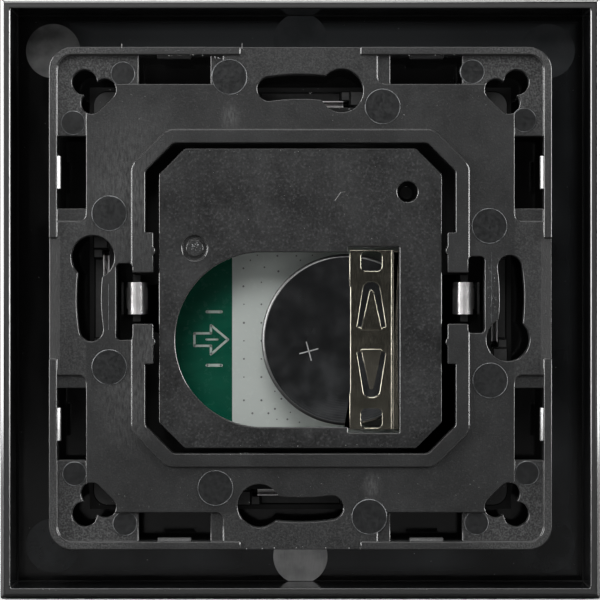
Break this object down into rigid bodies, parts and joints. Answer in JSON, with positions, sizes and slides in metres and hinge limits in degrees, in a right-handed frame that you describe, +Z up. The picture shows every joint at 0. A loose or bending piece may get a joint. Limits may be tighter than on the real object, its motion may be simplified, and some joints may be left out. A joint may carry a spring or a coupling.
{
  "type": "wireless wall switch",
  "caption": "Square wireless wall switch: cover frame, screw plate with curved keyholes, coin cell transmitter module held by hairpin springs, and a tilting rocker over push switches.",
  "frame": {"origin": "centre of the plane in which the cover frame's rim and the wall plate rest on the wall", "axes": "+Y into the wall, -Y into the room, +Z up, and +X to the left as seen from the wall side"},
  "size_m": [0.0854, 0.0128, 0.0854],
  "materials": {
    "frame_black": "high gloss black moulding",
    "rocker_black": "high gloss black moulding",
    "plate_black": "fine grained dark grey moulding",
    "module_black": "spark eroded dark grey moulding",
    "carrier_black": "black moulding",
    "board_green": "green solder mask with a pale legend area",
    "clip_nickel": "nickel plated sheet",
    "cell_steel": "fine brushed stainless steel",
    "spring_steel": "bright polished spring strip",
    "switch_dark": "black moulding",
    "switch_sheet": "tinned sheet",
    "chip_black": "matte package",
    "led_white": "milky lens",
    "ceramic_tan": "ceramic body"
  },
  "bodies": {
    "wall_part": {"cover_frame": "frame_black", "mounting_plate": "plate_black", "module_carrier": "carrier_black", "rear_housing": "module_black", "circuit_board": "board_green", "battery_clip": "clip_nickel", "negative_contact": "clip_nickel", "pairing_switch_body": "switch_dark", "radio_chip": "chip_black", "crystal": "switch_sheet", "status_led": "led_white", "capacitors": "ceramic_tan", "resistors": "chip_black", "retaining_spring_right": "spring_steel", "retaining_spring_left": "spring_steel", "frame_spring_left": "spring_steel", "frame_spring_top": "spring_steel", "frame_spring_right": "spring_steel", "frame_spring_bottom": "spring_steel", "switch_base_upper": "switch_dark", "switch_base_lower": "switch_dark", "switch_cover_upper": "switch_sheet", "switch_cover_lower": "switch_sheet"},
    "rocker_body": {"rocker": "rocker_black"},
    "upper_plunger_body": {"switch_plunger_upper": "switch_dark"},
    "lower_plunger_body": {"switch_plunger_lower": "switch_dark"},
    "pairing_pin_body": {"pairing_plunger": "switch_dark"},
    "cell_body": {"coin_cell": "cell_steel"}
  },
  "joints": [
    {"name": "rocker_tilt", "type": "hinge", "parent": "wall_part", "child": "rocker_body", "pos_m": [0, -0.0092, 0], "axis": [1, 0, 0], "range_deg": [-1.2, 1.2], "stiffness_Nm_per_rad": 1.2},
    {"name": "upper_plunger_slide", "type": "slide", "parent": "wall_part", "child": "upper_plunger_body", "axis": [0, 1, 0], "range_m": [-0.0003, 0.0003]},
    {"name": "lower_plunger_slide", "type": "slide", "parent": "wall_part", "child": "lower_plunger_body", "axis": [0, 1, 0], "range_m": [-0.0003, 0.0003]},
    {"name": "pairing_press", "type": "slide", "parent": "wall_part", "child": "pairing_pin_body", "axis": [0, -1, 0], "range_m": [0, 0.00025], "stiffness_N_per_m": 1000},
    {"name": "coin_cell_slide", "type": "slide", "parent": "wall_part", "child": "cell_body", "axis": [1, 0, 0], "range_m": [0, 0.0121]}
  ],
  "couplings": [
    {"joint": "upper_plunger_slide", "follows": "rocker_tilt", "m_per_rad": -0.014},
    {"joint": "lower_plunger_slide", "follows": "rocker_tilt", "m_per_rad": 0.014}
  ]
}
